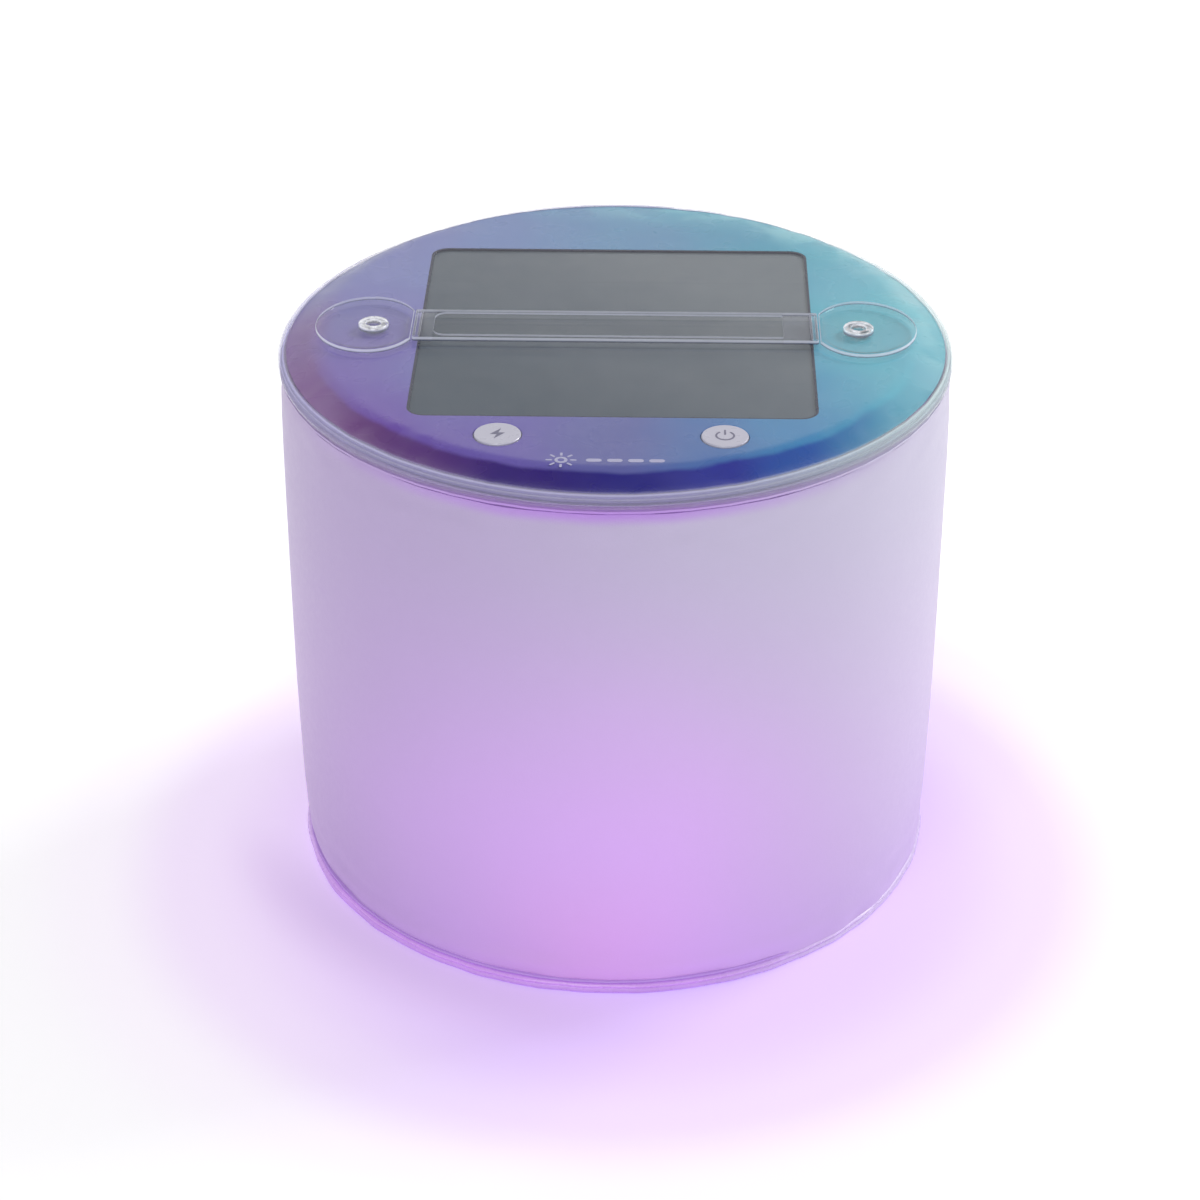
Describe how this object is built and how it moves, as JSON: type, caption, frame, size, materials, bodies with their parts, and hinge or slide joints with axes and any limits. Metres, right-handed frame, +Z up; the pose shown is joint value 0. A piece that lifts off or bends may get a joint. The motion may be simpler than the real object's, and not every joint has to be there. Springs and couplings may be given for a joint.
{
  "type": "inflatable solar lantern",
  "caption": "Inflatable camping lantern: a frosted film drum under a flat sealed solar module with push buttons and a clear snap strap; it collapses flat and glows violet.",
  "frame": {"origin": "centre of the base on the ground", "axes": "+Z up; the buttons face -Y; the strap runs along X, and its fixed end is at -X"},
  "size_m": [0.124, 0.124, 0.1066],
  "materials": {
    "frosted_film": "frosted translucent film, violet when lit",
    "clear_film": "clear glossy film",
    "printed_film": "glossy print running from violet through indigo to teal",
    "panel_laminate": "smooth grey laminate over solar cells",
    "solar_cell": "dark blue silicon",
    "circuit_board": "white solder mask",
    "white_plastic": "moulded white",
    "button_plastic": "pale grey lavender, satin",
    "black_plastic": "moulded black",
    "lamp": "colour LED, lit violet",
    "battery_foil": "pouch foil",
    "foam_tape": "double-sided foam tape",
    "red_lead": "insulated wire",
    "black_lead": "insulated wire",
    "screw_steel": "zinc plated",
    "strap_plastic": "clear flexible moulding",
    "snap_plastic": "clear hard plastic",
    "valve_plastic": "clear soft plastic",
    "flap_rubber": "thin soft flap"
  },
  "bodies": {
    "base": {"bottom_weld_ring": "clear_film", "bottom_film": "frosted_film", "envelope_wall": "frosted_film", "valve_housing": "valve_plastic"},
    "top_module": {"top_film": "clear_film", "top_weld_hem": "frosted_film", "pocket_film": "clear_film", "printed_overlay": "printed_film", "panel_laminate": "panel_laminate", "panel_backing": "circuit_board", "solar_cell_1": "solar_cell", "solar_cell_2": "solar_cell", "solar_cell_3": "solar_cell", "solar_cell_4": "solar_cell", "solar_cell_5": "solar_cell", "module_tray": "white_plastic", "main_board": "circuit_board", "board_screw_1": "screw_steel", "board_screw_2": "screw_steel", "board_screw_3": "screw_steel", "board_screw_4": "screw_steel", "led_1": "lamp", "led_2": "lamp", "led_3": "lamp", "led_4": "lamp", "led_5": "lamp", "led_6": "lamp", "led_7": "lamp", "led_8": "lamp", "battery_pad": "foam_tape", "battery_cell": "battery_foil", "battery_plug": "white_plastic", "battery_socket": "white_plastic", "battery_lead_plus": "red_lead", "battery_lead_minus": "black_lead", "panel_lead_plus": "red_lead", "panel_lead_minus": "black_lead", "controller_chip": "black_plastic", "charge_inductor": "black_plastic", "battery_switch": "black_plastic", "power_switch": "black_plastic", "left_tab": "strap_plastic", "left_snap_socket": "snap_plastic", "left_snap_stud": "snap_plastic", "right_snap_stud": "snap_plastic"},
    "power_button": {"power_button": "button_plastic", "power_plunger": "white_plastic"},
    "battery_button": {"battery_button": "button_plastic", "battery_plunger": "white_plastic"},
    "strap": {"handle_strap": "strap_plastic"},
    "right_tab": {"right_tab": "strap_plastic", "right_snap_socket": "snap_plastic"},
    "valve_stem": {"valve_stem": "valve_plastic"},
    "valve_flap": {"valve_flap": "flap_rubber"},
    "valve_plug": {"valve_plug": "valve_plastic"}
  },
  "joints": [
    {"name": "collapse", "type": "slide", "parent": "base", "child": "top_module", "axis": [0, 0, 1], "range_m": [-0.08, 0], "deforming": ["envelope_wall"]},
    {"name": "power_press", "type": "slide", "parent": "top_module", "child": "power_button", "axis": [0, 0, -1], "range_m": [0, 0.0005], "stiffness_N_per_m": 600},
    {"name": "battery_press", "type": "slide", "parent": "top_module", "child": "battery_button", "axis": [0, 0, -1], "range_m": [0, 0.0005], "stiffness_N_per_m": 600},
    {"name": "strap_lift", "type": "hinge", "parent": "top_module", "child": "strap", "pos_m": [-0.0374, 0.0024, 0.1057], "axis": [0, -1, 0], "range_deg": [0, 160]},
    {"name": "right_tab_fold", "type": "hinge", "parent": "strap", "child": "right_tab", "pos_m": [0.0374, 0.0024, 0.1057], "axis": [0, -1, 0], "range_deg": [0, 150]},
    {"name": "valve_pull", "type": "slide", "parent": "base", "child": "valve_stem", "axis": [0, 0, -1], "range_m": [0, 0.006]},
    {"name": "flap_open", "type": "hinge", "parent": "valve_stem", "child": "valve_flap", "pos_m": [-0.0034, 0, 0.011], "axis": [0, -1, 0], "range_deg": [0, 50]},
    {"name": "plug_open", "type": "hinge", "parent": "valve_stem", "child": "valve_plug", "pos_m": [-0.0069, 0, 0.00105], "axis": [0, 1, 0], "range_deg": [0, 140]}
  ]
}
